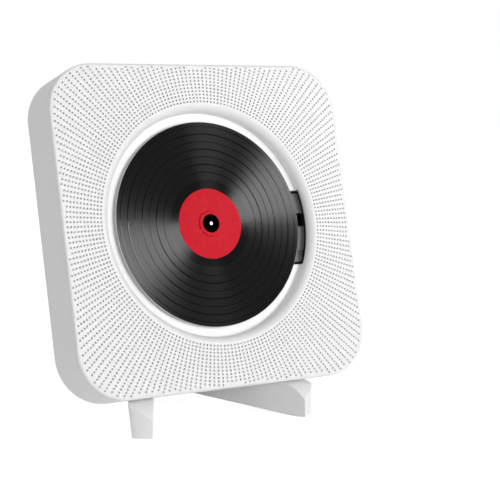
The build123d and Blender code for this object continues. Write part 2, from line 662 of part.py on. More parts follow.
def usb_shell(grow=0.0):
    """Depth and height of the socket's steel shell."""
    return USB_DEPTH + grow, USB_WIDTH + grow


def usb_socket():
    middle = Pos(JACK_DEPTH, USB_HEIGHT)
    left = INNER_HALF - SEAT - JACK_LENGTH
    shell = beam(middle * RectangleRounded(*usb_shell(), 0.5), left, HALF - PLUG_DROP)
    inside = Rectangle(*usb_shell(-2 * USB_SHEET))
    return shell - beam(middle * inside, left + 1, HALF)


def usb_tongue():
    middle = Pos(JACK_DEPTH - 1.3, USB_HEIGHT)
    left = INNER_HALF - SEAT - JACK_LENGTH + 1 + SEAT
    return beam(middle * Rectangle(TONGUE_THICK, TONGUE_WIDTH), left, HALF - 2)


def knob_room():
    """The slot that the switch's knob travels in."""
    return RectangleRounded(KNOB_WIDTH + 2 * EASY, KNOB_HEIGHT + SWITCH_TRAVEL + 2 * EASY,
                            KNOB_CORNER)


def power_switch():
    left, right = INNER_HALF - 5.0, INNER_HALF - SEAT
    body = beam(Pos(JACK_DEPTH, SWITCH_HEIGHT) * Rectangle(5.6, SWITCH_WIDTH), left, right)
    return body - beam(Pos(JACK_DEPTH, SWITCH_HEIGHT) * knob_room(), left + 1.2, right + 1)


def switch_knob():
    start = SWITCH_HEIGHT - SWITCH_TRAVEL / 2
    knob = RectangleRounded(KNOB_WIDTH, KNOB_HEIGHT, KNOB_CORNER)
    body = beam(Pos(JACK_DEPTH, start) * knob, INNER_HALF - 3.6, HALF - 0.4)
    for step in (-1, 0, 1):
        groove = Pos(JACK_DEPTH, start + step * 1.0) * Rectangle(4, 0.4)
        body -= beam(groove, HALF - 0.8, HALF)
    return body


def ir_screw_places():
    height = -(LUG_RING + LUG_RADIUS)
    return [(-IR_SCREW_X, height), (IR_SCREW_X, height)]


def ir_board():
    height = ir_screw_places()[0][1]
    outline = Pos(0, height) * Rectangle(IR_BOARD_WIDTH, IR_BOARD_HEIGHT)
    for place in ir_screw_places():
        outline -= Pos(*place) * Circle(SCREW_RADIUS + EASY)
    return slab(outline, IR_BOARD_DEPTH, IR_BOARD_DEPTH + BOARD_THICK)


def ir_receiver():
    height = ir_screw_places()[0][1]
    near, far = PANEL_THICK + 0.5, IR_BOARD_DEPTH - SEAT
    body = slab(Pos(0, height) * Rectangle(IR_CASE, IR_CASE), near + 1.2, far)
    return body + slab(Pos(0, height) * Circle(IR_WINDOW), near, near + 1.2)


def ir_screws():
    seat = IR_BOARD_DEPTH + BOARD_THICK + SEAT
    return group([screw(place, seat, IR_SCREW) for place in ir_screw_places()])


# ---- Buttons -----------------------------------------------------------------------------------
def key_board():
    outline = Pos(0, BUTTON_DEPTH) * Rectangle(2 * KEY_BOARD_HALF, KEY_BOARD_WIDTH)
    for x in (-KEY_BOARD_HALF + BOSS_RADIUS, KEY_BOARD_HALF - BOSS_RADIUS):
        outline -= Pos(x, BUTTON_DEPTH) * Circle(SCREW_RADIUS + EASY)
    return tower(outline, KEY_BOARD_TOP - BOARD_THICK, KEY_BOARD_TOP)


def key_board_screws():
    low = KEY_BOARD_TOP - BOARD_THICK - SEAT
    screws = []
    for x in (-KEY_BOARD_HALF + BOSS_RADIUS, KEY_BOARD_HALF - BOSS_RADIUS):
        middle = Pos(x, BUTTON_DEPTH)
        screws.append(tower(middle * Circle(HEAD_RADIUS), low - HEAD_HEIGHT, low)
                      + tower(middle * Circle(SCREW_RADIUS), low, low + KEY_SCREW))
    return group(screws)


def tact_switches():
    bodies = []
    for x in BUTTON_XS:
        outline = Pos(x, BUTTON_DEPTH) * (Rectangle(TACT_SIZE, TACT_SIZE)
                                          - Circle(BUTTON_STEM + 2 * RUNNING))
        bodies.append(tower(outline, KEY_BOARD_TOP + SEAT, KEY_BOARD_TOP + TACT_HEIGHT))
    return group(bodies)


def button(x):
    middle = Pos(x, BUTTON_DEPTH)
    top = HALF + BUTTON_PROUD
    under_wall = INNER_HALF - SEAT
    cap = tower(middle * Circle(BUTTON_RADIUS), under_wall, top)
    cap = chamfer(cap.faces().sort_by(Axis.Z)[-1].edges(), BUTTON_EDGE)
    flange = tower(middle * Circle(BUTTON_RADIUS + BUTTON_FLANGE), under_wall - 1.6, under_wall)
    stem_end = KEY_BOARD_TOP + BUTTON_TRAVEL + 0.3
    return cap + flange + tower(middle * Circle(BUTTON_STEM), stem_end, under_wall - 1.6)


# ---- Drive -------------------------------------------------------------------------------------
def plate_outline(low, high):
    """A drive cover plate between two heights, inside the tray's opening."""
    left = sqrt(max((OPENING_HUB + 1) ** 2 - max(low ** 2, high ** 2), 0))
    plate = block(max(left, LENS_X / 2), PLATE_RADIUS, low, high) & Circle(PLATE_RADIUS)
    return plate - Circle(OPENING_HUB + 0.6)


def drive_plate(low, high):
    outline = plate_outline(low, high)
    plate = slab(outline, PLATE_DEPTH, PLATE_BACK)
    skirt = outline - offset(outline, -COVER_SKIRT)
    return plate + slab(skirt, PLATE_BACK, DECK_DEPTH - SEAT)


def drive_plate_upper():
    return drive_plate(LENS_SLOT / 2, SLOT_TOP - COVER_PLATE_GAP)


def drive_plate_lower():
    plate = drive_plate(-(SLOT_BOTTOM - COVER_PLATE_GAP), -LENS_SLOT / 2)
    edge = sqrt(PLATE_RADIUS ** 2 - NOTCH_DROP ** 2)
    notch = Pos(edge - NOTCH_WIDTH / 2, -NOTCH_DROP) * Rectangle(NOTCH_WIDTH + 2, NOTCH_HEIGHT)
    return plate - slab(notch, PLATE_DEPTH - 1, PLATE_DEPTH + 0.8)


def deck_outline():
    deck = block(-DECK_LEFT, DECK_RIGHT, -DECK_BOTTOM, DECK_TOP)
    deck += block(LEG_LEFT, LEG_RIGHT, -LEG_BOTTOM, -DECK_BOTTOM)
    for ear in EARS:
        deck += Pos(*ear) * Circle(EAR_RADIUS)
    return deck


def drive_chassis():
    outline = deck_outline()
    deck = slab(outline, DECK_DEPTH, DECK_BACK)
    deck += slab(outline - offset(outline, -DECK_RIB), DECK_BACK, DECK_BACK + DECK_RIB_DEPTH)
    for x in (RAIL_LEFT, RAIL_RIGHT - RAIL_BLOCK):
        for height, radius in ((UPPER_RAIL, UPPER_RAIL_RADIUS), (LOWER_RAIL, LOWER_RAIL_RADIUS)):
            side = 2 * radius + 3
            seat = Pos((DECK_BACK + RAIL_DEPTH + side / 2) / 2, height)
            seat *= Rectangle(RAIL_DEPTH + side / 2 - DECK_BACK, side)
            deck += beam(seat, x, x + RAIL_BLOCK)
            bore = Pos(RAIL_DEPTH, height) * Circle(radius + 0.02)
            deck -= beam(bore, x - 1, x + RAIL_BLOCK + 1)
    deck += post((GEAR_X, GEAR_Z), 2.4, DECK_BACK, RACK_DEPTH - 0.3)
    window = block(SLED_LEFT, LENS_X + 7 + SLED_TRAVEL + 2, -LENS_SLOT / 2 - 2, LENS_SLOT / 2 + 2)
    window += Circle(3.3)
    window += Pos(*SLED_MOTOR) * Circle(3.3)
    for ear in EARS:
        window += Pos(*ear) * Circle(DAMPER_RADIUS - DAMPER_GROOVE + SEAT)
    deck -= slab(window, DECK_DEPTH - 1, DECK_BACK + 1)
    deck -= post((GEAR_X, GEAR_Z), GEAR_PIN + 0.02, DECK_DEPTH - 1, RACK_DEPTH)
    return RISE * deck


def drive_dampers():
    inner, outer = STUD_RADIUS + SEAT, DAMPER_RADIUS
    groove = DAMPER_RADIUS - DAMPER_GROOVE
    near = TRAY_BACK + SEAT
    profile = [(inner, near), (outer, near), (outer, DECK_DEPTH - SEAT), (groove, DECK_DEPTH - SEAT),
               (groove, DECK_BACK + SEAT), (outer, DECK_BACK + SEAT), (outer, STUD_END - SEAT),
               (inner, STUD_END - SEAT)]
    damper = turned(profile)
    return RISE * group([Pos(x, 0, z) * damper for x, z in EARS])


def drive_screws():
    return RISE * group([screw(ear, STUD_END + SEAT, DRIVE_SCREW, DRIVE_HEAD) for ear in EARS])


def spindle_motor():
    can = post((0, 0), SPINDLE_CAN, DECK_BACK + SEAT, DECK_BACK + SPINDLE_LENGTH)
    can = chamfer(can.edges().filter_by(GeomType.CIRCLE), CAN_EDGE)
    can += post((0, 0), 3.0, DECK_DEPTH + 0.6, DECK_BACK + 0.5)
    can += post((0, 0), 3.4, DECK_BACK + SPINDLE_LENGTH, DECK_BACK + SPINDLE_LENGTH + 1.4)
    can -= post((0, 0), SHAFT_RADIUS + RUNNING, 0, DECK_BACK + SPINDLE_LENGTH + 0.8)
    return RISE * can


def spindle_shaft():
    end = DECK_BACK + SPINDLE_LENGTH + 0.6
    return RISE * post((0, 0), SHAFT_RADIUS, HUB_FRONT - CAP_PROUD + 0.2, end)


def ball_angles():
    return [90 + 360 * i / BALL_COUNT for i in range(BALL_COUNT)]


def ball_bores():
    """Radial pockets in the hub's boss for the balls that grip the disc."""
    start = BOSS_FIT - 2 * BALL_RADIUS - SEAT
    bore = Rot(0, 90, 0) * Cylinder(BALL_RADIUS + SEAT, BOSS_FIT + EASY - start,
                                    align=(Align.CENTER, Align.CENTER, Align.MIN))
    return Part() + [Pos(0, BALL_DEPTH, 0) * Rot(0, -angle, 0) * Pos(start, 0, 0) * bore
                     for angle in ball_angles()]


def spindle_hub():
    bore = SHAFT_RADIUS + 0.01
    hub = turned([(bore, HUB_FRONT + CAP_DEPTH), (CAP_RADIUS, HUB_FRONT + CAP_DEPTH),
                  (CAP_RADIUS, HUB_FRONT), (BOSS_FIT - 0.4, HUB_FRONT), (BOSS_FIT, HUB_FRONT + 0.4),
                  (BOSS_FIT, DISC_BACK + SEAT), (FLANGE_RADIUS, DISC_BACK + SEAT),
                  (FLANGE_RADIUS, DISC_BACK + FLANGE_THICK),
                  (NECK_RADIUS, DISC_BACK + FLANGE_THICK + 0.8),
                  (NECK_RADIUS, DECK_DEPTH - 0.2), (bore, DECK_DEPTH - 0.2)])
    return RISE * (hub - ball_bores())


def hub_cap():
    front = HUB_FRONT - CAP_PROUD
    back = HUB_FRONT + CAP_DEPTH - SEAT
    rim = CAP_RADIUS - SEAT
    cap = turned([(SHAFT_RADIUS + 0.01, front), (rim - 1.2, front), (rim, HUB_FRONT),
                  (rim, back), (SHAFT_RADIUS + 0.01, back)])
    return RISE * cap


def hub_balls():
    places = [on_ring(BOSS_FIT - BALL_RADIUS, angle) for angle in ball_angles()]
    return RISE * group([Pos(x, BALL_DEPTH, z) * Sphere(BALL_RADIUS) for x, z in places])


def disc():
    rim, hole = DISC_RADIUS, DISC_HOLE / 2
    groove = STACK_WIDTH / 2
    profile = [(hole, DISC_DEPTH), (hole, DISC_BACK), (STACK_RING - groove, DISC_BACK),
               (STACK_RING, DISC_BACK - STACK_DEPTH), (STACK_RING + groove, DISC_BACK),
               (rim - DISC_EDGE, DISC_BACK), (rim, DISC_BACK - DISC_EDGE),
               (rim, DISC_DEPTH + DISC_EDGE), (rim - DISC_EDGE, DISC_DEPTH),
               (LABEL_DIAMETER / 2, DISC_DEPTH), (LABEL_DIAMETER / 2, DISC_DEPTH + LABEL_THICK),
               (hole + 0.3, DISC_DEPTH + LABEL_THICK), (hole + 0.3, DISC_DEPTH)]
    return RISE * turned(profile)


def disc_label():
    ring = Circle(LABEL_DIAMETER / 2 - 0.01) - Circle(DISC_HOLE / 2 + 0.31)
    return RISE * slab(ring, DISC_DEPTH, DISC_DEPTH + LABEL_THICK - 0.01)


# ---- Pickup and gears --------------------------------------------------------------------------
def gear_outline(teeth, phase):
    """Involute gear; `phase` is the direction of one tooth, in degrees."""
    pitch = GEAR_MODULE * teeth / 2
    pressure = radians(20)
    base = pitch * cos(pressure)
    tip = pitch + 0.9 * GEAR_MODULE
    root = pitch - 1.2 * GEAR_MODULE
    half_at_pitch = pi / (2 * teeth) - BACKLASH / (2 * pitch)

    def half_angle(radius):
        turn = acos(min(base / radius, 1.0))
        return half_at_pitch + (tan(pressure) - pressure) - (tan(turn) - turn)

    flank = [(root, half_angle(max(base, root)) + 0.02)]
    flank += [(radius, half_angle(radius)) for radius in (max(base, root + 0.02), pitch, tip)]
    points = []
    for i in range(teeth):
        middle = radians(phase) + 2 * pi * i / teeth
        points += [(radius * cos(middle - half), radius * sin(middle - half)) for radius, half in flank]
        points += [(radius * cos(middle + half), radius * sin(middle + half))
                   for radius, half in reversed(flank)]
    return make_face(Polyline(*points, close=True))


def rack_outline():
    """Straight-sided teeth that point down, with a gap over the pinion's axis at rest."""
    pitch = pi * GEAR_MODULE
    slope = tan(radians(20))
    tip, root = 0.8 * GEAR_MODULE, 1.2 * GEAR_MODULE
    half = pitch / 4 - BACKLASH / 2
    start = GEAR_X - (RACK_TEETH - 1.5) * pitch
    points = [(start - pitch / 2, RACK_LINE + root + 2.4), (start - pitch / 2, RACK_LINE + root)]
    for i in range(RACK_TEETH):
        x = start + i * pitch
        points += [(x - half - root * slope, RACK_LINE + root), (x - half + tip * slope, RACK_LINE - tip),
                   (x + half - tip * slope, RACK_LINE - tip), (x + half + root * slope, RACK_LINE + root)]
    end = start + (RACK_TEETH - 0.5) * pitch
    points += [(end, RACK_LINE + root), (end, RACK_LINE + root + 2.4)]
    return make_face(Polyline(*points, close=True))


def pickup_sled():
    right = SLED_LEFT + SLED_WIDTH
    rack_top = RACK_LINE + 1.2 * GEAR_MODULE
    back = SLED_FLOOR + SLED_THICK
    top = UPPER_RAIL + UPPER_RAIL_RADIUS + BUSH_WALL
    sled = slab(block(SLED_LEFT, right, rack_top, top), SLED_FLOOR, back)
    bush = block(RAIL_DEPTH - UPPER_RAIL_RADIUS - BUSH_FRONT, SLED_FLOOR, 2 * UPPER_RAIL - top, top)
    sled += beam(bush, SLED_LEFT, right)
    sled -= beam(Pos(RAIL_DEPTH, UPPER_RAIL) * Circle(UPPER_RAIL_RADIUS + RUNNING), SLED_LEFT - 1,
                 right + 1)
    fork = block(RAIL_DEPTH - 2.2, SLED_FLOOR, LOWER_RAIL - 3, LOWER_RAIL + 3)
    slot = block(RAIL_DEPTH - 3, RAIL_DEPTH, LOWER_RAIL - LOWER_RAIL_RADIUS - RUNNING,
                 LOWER_RAIL + LOWER_RAIL_RADIUS + RUNNING)
    slot += Pos(RAIL_DEPTH, LOWER_RAIL) * Circle(LOWER_RAIL_RADIUS + RUNNING)
    sled += beam(fork - slot, SLED_LEFT + 6, right - 5)
    sled += slab(block(LENS_X - 7, LENS_X + 7, -3.6, 3.6), LENS_DEPTH + 1.2, SLED_FLOOR)
    sled -= post((LENS_X, 0), LENS_RADIUS + 0.02, 0, LENS_DEPTH + 2.4)
    return RISE * (sled + slab(rack_outline(), RACK_DEPTH, SLED_FLOOR + SEAT))


def pickup_lens():
    lens = turned([(0.01, LENS_DEPTH), (1.4, LENS_DEPTH + 0.2), (LENS_RADIUS - 0.4, LENS_DEPTH + 0.8),
                   (LENS_RADIUS, LENS_DEPTH + 0.8), (LENS_RADIUS, LENS_DEPTH + 2.35),
                   (0.01, LENS_DEPTH + 2.35)])
    return RISE * Pos(LENS_X, 0, 0) * lens


def guide_rail(height, radius):
    return RISE * beam(Pos(RAIL_DEPTH, height) * Circle(radius), RAIL_LEFT - 1, RAIL_RIGHT + 0.8)


def gear_pin():
    end = WHEEL_DEPTH + WHEEL_THICK + 0.8
    return RISE * post((GEAR_X, GEAR_Z), GEAR_PIN, DECK_DEPTH + 0.2, end)


def sled_gear():
    gear = slab(gear_outline(PINION_TEETH, 90), RACK_DEPTH, RACK_DEPTH + RACK_THICK)
    gear += slab(Circle(PINION_RADIUS - 1.3 * GEAR_MODULE), RACK_DEPTH + RACK_THICK, WHEEL_DEPTH)
    gear += slab(gear_outline(WHEEL_TEETH, SLED_MOTOR_ANGLE), WHEEL_DEPTH, WHEEL_DEPTH + WHEEL_THICK)
    gear -= slab(Circle(GEAR_PIN + RUNNING), 0, CASE_DEPTH)
    for i in range(5):
        hole = Pos(*on_ring(WHEEL_RADIUS * 0.6, 72 * i)) * Circle(2.2)
        gear -= slab(hole, WHEEL_DEPTH - 0.5, CASE_DEPTH)
    return RISE * Pos(GEAR_X, 0, GEAR_Z) * gear


def sled_motor():
    can = post(SLED_MOTOR, SLED_CAN, DECK_BACK + SEAT, DECK_BACK + SLED_CAN_LENGTH)
    can = chamfer(can.edges().filter_by(GeomType.CIRCLE), CAN_EDGE)
    can += post(SLED_MOTOR, 3.0, DECK_DEPTH + 0.6, DECK_BACK + 0.5)
    return RISE * (can - post(SLED_MOTOR, GEAR_PIN + RUNNING, DECK_BACK + 1, CASE_DEPTH))


def motor_pinion():
    gear = gear_outline(MOTOR_TEETH, SLED_MOTOR_ANGLE - 180 + 180 / MOTOR_TEETH)
    body = slab(Pos(*SLED_MOTOR) * gear, WHEEL_DEPTH, WHEEL_DEPTH + WHEEL_THICK + 0.4)
    return RISE * (body + post(SLED_MOTOR, GEAR_PIN, DECK_BACK + 1.2, WHEEL_DEPTH))


# ---- Stand -------------------------------------------------------------------------------------
def on_case(depth, height):
    """Side view, y and z: a point of the leaning player by its depth and height."""
    return (depth * COS_LEAN + height * SIN_LEAN,
            CENTRE_HEIGHT - depth * SIN_LEAN + height * COS_LEAN)


def stand_profile():
    """Side view of a stand plate: foot, seat, upright, rear foot and arch."""
    seat = -HALF - SEAT
    back = CASE_DEPTH + BACK_GAP
    toe = (FOOT_Y, FOOT_HEIGHT)
    seat_front = on_case(SEAT_START, seat)
    top_front = on_case(back, seat + UPRIGHT)
    top_back = on_case(back + UPRIGHT_THICK, seat + UPRIGHT)
    top_middle = on_case(back + UPRIGHT_THICK / 2, seat + UPRIGHT + UPRIGHT_THICK / 2)
    rear_top = (REAR_REACH, REAR_HEIGHT)
    sag = ((top_back[0] + rear_top[0]) / 2 - 5, (top_back[1] + rear_top[1]) / 2 - 3)
    lines = [Line((FOOT_Y, 0), toe), RadiusArc(toe, seat_front, TOE_RADIUS),
             Polyline(seat_front, on_case(back, seat), top_front),
             ThreePointArc(top_front, top_middle, top_back),
             ThreePointArc(top_back, sag, rear_top),
             Polyline(rear_top, (REAR_REACH, 0), (REAR_REACH - REAR_FLAT, 0),
                      (REAR_REACH - 2 * REAR_FLAT, ARCH_RISE), (ARCH_START, ARCH_RISE),
                      (FOOT_Y + FOOT_FLAT, 0), (FOOT_Y, 0))]
    return make_face(Curve() + lines)


def stand_plan():
    """Seen from above, one plate: x across it, outwards, and y along it from the toe."""
    nose = Pos(0, STAND_NOSE) * Ellipse(STAND_THICK, STAND_NOSE)
    nose &= block(0, STAND_THICK, 0, STAND_NOSE)
    return nose + block(0, STAND_THICK, STAND_NOSE, STAND_LENGTH)


def stand_plate():
    """The right-hand plate, whole."""
    seat_height = on_case(SEAT_START, -HALF)[1]
    draft = make_face(Polyline((STAND_THICK, seat_height), (STAND_THICK - STAND_DRAFT, 0),
                               (STAND_THICK - STAND_DRAFT, -1), (STAND_THICK + 1, -1),
                               (STAND_THICK + 1, seat_height), close=True))
    wedge = RIGHT_TOE * extrude(Plane.XZ.offset(1) * draft, -2 * STAND_LENGTH)
    side = beam(stand_profile(), -2 * FOOT_X, 2 * FOOT_X)
    return (side & (RIGHT_TOE * extrude(stand_plan(), CENTRE_HEIGHT))) - wedge


def lap_slot(low, high):
    """What the right-hand plate takes out of the other one between two heights."""
    room = block(-SEAT, STAND_THICK + SEAT, 0, STAND_LENGTH)
    return RIGHT_TOE * extrude(Plane.XY.offset(low) * room, high - low)


def stand_plates():
    """The two plates, halved together where they cross."""
    plate = stand_plate()
    lower = mirror(lap_slot(-1, LAP_HEIGHT + SEAT / 2), Plane.YZ)
    upper = lap_slot(LAP_HEIGHT - SEAT / 2, CENTRE_HEIGHT)
    left = mirror(plate, Plane.YZ) - upper
    return STANDING * left, STANDING * (plate - lower)


# ---- Everything --------------------------------------------------------------------------------
def player_parts():
    parts = {
        "front_panel": front_panel(), "case_frame": case_frame(), "rear_cover": rear_cover(),
        "case_screws": case_screws(), "disc_tray": disc_tray(), "tray_screws": tray_screws(),
        "speaker_screws": speaker_screws(), "main_board": main_board(),
        "board_screws": board_screws(), "board_chips": board_chips(),
        "board_capacitors": board_capacitors(), "bluetooth_module": bluetooth_module(),
        "usb_socket": usb_socket(), "usb_tongue": usb_tongue(),
        "headphone_jack": round_jack(HEADPHONE_HEIGHT, JACK_RADIUS),
        "aux_jack": round_jack(AUX_HEIGHT, JACK_RADIUS), "dc_jack": dc_jack(),
        "power_switch": power_switch(), "switch_knob": switch_knob(),
        "ir_board": ir_board(), "ir_receiver": ir_receiver(), "ir_screws": ir_screws(),
        "key_board": key_board(), "key_board_screws": key_board_screws(),
        "tact_switches": tact_switches(), "drive_chassis": drive_chassis(),
        "drive_dampers": drive_dampers(), "drive_screws": drive_screws(),
        "drive_plate_upper": RISE * drive_plate_upper(),
        "drive_plate_lower": RISE * drive_plate_lower(), "spindle_motor": spindle_motor(),
        "spindle_shaft": spindle_shaft(), "spindle_hub": spindle_hub(), "hub_cap": hub_cap(),
        "hub_balls": hub_balls(), "disc": disc(), "disc_label": disc_label(),
        "pickup_sled": pickup_sled(), "pickup_lens": pickup_lens(),
        "guide_rail_upper": guide_rail(UPPER_RAIL, UPPER_RAIL_RADIUS),
        "guide_rail_lower": guide_rail(LOWER_RAIL, LOWER_RAIL_RADIUS),
        "gear_pin": gear_pin(), "sled_gear": sled_gear(), "sled_motor": sled_motor(),
        "motor_pinion": motor_pinion(),
    }
    for name, side in (("left", -1), ("right", 1)):
        parts["speaker_frame_" + name] = speaker_frame(side)
        parts["speaker_cone_" + name] = speaker_cone(side)
        parts["speaker_magnet_" + name] = speaker_magnet(side)
    for name, x in zip(BUTTON_NAMES, BUTTON_XS):
        parts[name] = button(x)
    return parts


def main():
    os.makedirs("parts", exist_ok=True)
    for name, part in player_parts().items():
        export_step(LEANING * part, f"parts/{name}.step")
    left, right = stand_plates()
    export_step(left, "parts/stand_left.step")
    export_step(right, "parts/stand_right.step")


main()
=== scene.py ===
"""Looks of a wall-mounted disc player on its crossed desk stand.

Sizes are in millimetres, and MM turns them into Blender's metres. The player is described in
its own frame: x to the right, y into the case, z up the leaning face, with the origin where
the disc's axis meets the front face. WELL is that frame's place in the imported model.
"""
import json
import math

import bpy
from mathutils import Matrix, Vector
from mathutils.geometry import delaunay_2d_cdt


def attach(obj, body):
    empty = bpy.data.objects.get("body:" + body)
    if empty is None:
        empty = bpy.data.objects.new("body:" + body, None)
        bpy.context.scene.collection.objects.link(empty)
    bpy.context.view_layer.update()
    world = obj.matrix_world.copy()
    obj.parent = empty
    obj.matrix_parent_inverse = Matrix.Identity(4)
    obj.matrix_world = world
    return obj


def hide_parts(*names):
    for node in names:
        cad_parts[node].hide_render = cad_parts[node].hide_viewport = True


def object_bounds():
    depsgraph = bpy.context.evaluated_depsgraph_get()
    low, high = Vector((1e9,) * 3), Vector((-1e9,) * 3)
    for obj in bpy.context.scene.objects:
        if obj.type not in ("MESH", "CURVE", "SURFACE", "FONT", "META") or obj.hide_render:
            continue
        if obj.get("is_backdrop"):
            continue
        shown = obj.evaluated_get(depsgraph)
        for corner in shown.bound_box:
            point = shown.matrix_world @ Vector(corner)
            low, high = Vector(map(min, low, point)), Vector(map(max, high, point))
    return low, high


MM = 0.001

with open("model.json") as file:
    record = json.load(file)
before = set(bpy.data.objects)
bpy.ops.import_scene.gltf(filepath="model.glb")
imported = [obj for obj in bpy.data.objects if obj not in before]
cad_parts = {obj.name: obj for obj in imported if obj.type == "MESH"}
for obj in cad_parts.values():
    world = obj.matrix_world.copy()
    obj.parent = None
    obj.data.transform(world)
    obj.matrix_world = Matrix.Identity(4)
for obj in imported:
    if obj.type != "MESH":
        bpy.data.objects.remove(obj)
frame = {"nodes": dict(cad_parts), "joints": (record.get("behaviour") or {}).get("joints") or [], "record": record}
cad_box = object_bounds()
NODES = frame["nodes"]
JOINTS = {joint["name"]: joint for joint in frame["joints"]}

# ---- Sizes that follow the CAD source, as radii where it has diameters --------------------
HUB_JOINT_DEPTH = 5.0    # the hub's joint lies this far behind the front face
WELL_RISE = 1.0
CASE_SIDE = 188.4
CASE_CORNER = 28.0
PANEL_THICK = 2.2
PANEL_EDGE = 1.3
WELL_RADIUS = 65.5
BOWL_EDGE = 5.0
WELL_FLOOR = 7.15        # where the well's wall ends, just clear of the tray
SLOT_TOP = 17.7          # the drive opening goes in under the well's wall here
SLOT_BOTTOM = 27.0
SLOT_CUT = 4.2
GRILLE_SPOKES = 200
GRILLE_PITCH = 2.025
GRILLE_START = 0.65      # from the rolled edge to the middle of the first ring
DISC_RADIUS = 60.0
DISC_EDGE = 0.2
DISC_HOLE = 7.5
DISC_FRONT = 4.6
DISC_BACK = 5.8
LABEL_RADIUS = 20.5

# ---- Sizes that only the looks have ---------------------------------------------------------
GRILLE_MARGIN = 1.95     # from the case's edge to the middle of the last holes
GRILLE_HOLE = 1.38       # wider than the solid's sound holes, and blind
HOLE_END = 1.1           # the holes narrow to this
HOLE_DEPTH = 1.4
HOLE_SIDES = 8
DEAD_WAX = 25.6          # where the grooves begin
DEAD_WAX_STEP = 0.04
DEAD_WAX_SLOPE = 0.2
DISC_CLEAR = 0.18        # light rim outside the black
BAND_PITCH = 9.0         # between the bold grooves that part the tracks
FIRST_BAND = 34.8
TRACKS = range(-1, 6)    # grooves, in half pitches from the first bold one; the even ones are bold
BOLD_GROOVE = (0.6, 0.02)  # width and depth
FINE_GROOVE = (0.4, 0.01)
BOLD_RING = (0.75, 0.15)  # width of the ring darkened by painted shade, and how much smoother it is
FINE_RING = (0.5, 0.13)
PLAIN_GLOSS = 0.055      # how much smoother the ungrooved ring around the label is; painted shade darkens it too
LABEL_FRONT = DISC_FRONT - 0.05
LABEL_BACK = DISC_FRONT + 0.1
LABEL_EDGE = 0.1
LABEL_GAP = 0.02         # round the disc's hole
STAND_ROUND = 3.0
BOWL_SEGMENTS = 256
DISC_SEGMENTS = 360
HOLD = 0.06              # extra loop beside a groove, so that the flat between grooves stays flat

BOWL_RADIUS = WELL_RADIUS + BOWL_EDGE
HALF = CASE_SIDE / 2

DEEP = Vector(JOINTS["hub_spin"]["axis"])
UP = Vector(JOINTS["player_lift"]["axis"])
ORIGIN = Vector(JOINTS["hub_spin"]["pos_m"]) - DEEP * HUB_JOINT_DEPTH * MM
WELL = Matrix.Translation(ORIGIN) @ Matrix((Vector((1, 0, 0)), DEEP, UP)).transposed().to_4x4()

# ---- Camera: place and aim in the panel's upright frame, about the middle of its face ----
CAMERA_PLACE = Vector((-403.02, -695.85, 71.63))
CAMERA_AIM = Vector((0.51995, 0.84744, -0.10721))
CAMERA_LENS = 101.16     # for a 36 mm wide sensor
FACE_CENTRE = ORIGIN - UP * WELL_RISE * MM

# ---- Light: name, direction, size and power in watts, and whether it lights surfaces or gloss ---
AMBIENT = 0.42
FLOOR_GLOW = 0.75
LAMP_DISTANCE = 1.6
LAMPS = (("streak_outer", (0.645, -0.741, 0.185), 0.2, 11.5, False),
         ("streak_inner", (0.346, -0.936, 0.073), 0.2, 9.3, False),
         ("streak_top", (0.513, -0.776, 0.360), 0.2, 2.4, False),
         ("key", (0.440, -0.880, -0.100), 0.6, 11.6, True),
         ("fill", (-0.750, -0.650, -0.080), 0.3, 3.0, True))


# ---- Mesh helpers -------------------------------------------------------------------------
def new_object(name, vertices, faces, matrix=WELL, sharp=35):
    """A smooth-shaded mesh object from millimetre vertices, placed by `matrix`."""
    mesh = bpy.data.meshes.new(name)
    mesh.from_pydata([Vector(v) * MM for v in vertices], [], faces)
    mesh.validate()
    mesh.polygons.foreach_set("use_smooth", [True] * len(mesh.polygons))
    mesh.set_sharp_from_angle(angle=math.radians(sharp))
    obj = bpy.data.objects.new(name, mesh)
    bpy.context.scene.collection.objects.link(obj)
    obj.matrix_world = matrix
    return obj


class Builder:
    """Collects vertices and faces, and shares vertices that lie in the same place."""

    def __init__(self):
        self.vertices = []
        self.faces = []
        self.index = {}

    def vertex(self, point):
        key = tuple(round(c, 4) for c in point)
        if key not in self.index:
            self.index[key] = len(self.vertices)
            self.vertices.append(key)
        return self.index[key]

    def face(self, points):
        corners = []
        for point in points:
            corner = self.vertex(point)
            if corner not in corners:
                corners.append(corner)
        if len(corners) > 2:
            self.faces.append(corners)

    def band(self, first, second):
        """Quads between two closed loops with as many points each."""
        for i in range(len(first)):
            j = (i + 1) % len(first)
            self.face([first[i], first[j], second[j], second[i]])

    def object(self, name, **options):
        return new_object(name, self.vertices, self.faces, **options)


def circle(radius, count, centre=(0.0, 0.0), start=0.0):
    """Points of a circle in x and z, anticlockwise as seen from the front."""
    points = []
    for i in range(count):
        angle = start + 2 * math.pi * i / count
        points.append((centre[0] + radius * math.cos(angle), centre[1] + radius * math.sin(angle)))
    return points


def rounded_square(inset, corner_steps=20, side_steps=12):
    """The case's outline, moved inwards by `inset`, about the disc's centre."""
    reach = HALF - CASE_CORNER
    radius = CASE_CORNER - inset
    points = []
    for quarter in range(4):
        turn = math.pi / 2 * quarter
        middle = (reach * math.sqrt(2) * math.cos(turn + math.pi / 4),
                  reach * math.sqrt(2) * math.sin(turn + math.pi / 4))
        corner = [(middle[0] + radius * math.cos(turn + math.pi / 2 * i / corner_steps),
                   middle[1] + radius * math.sin(turn + math.pi / 2 * i / corner_steps))
                  for i in range(corner_steps + 1)]
        points += corner
        last = corner[-1]
        along = (-math.sin(turn + math.pi / 2), math.cos(turn + math.pi / 2))
        points += [(last[0] + along[0] * 2 * reach * i / side_steps,
                    last[1] + along[1] * 2 * reach * i / side_steps)
                   for i in range(1, side_steps)]
    return [(x, z - WELL_RISE) for x, z in points]


def at_depth(points, depth):
    return [(x, depth, z) for x, z in points]


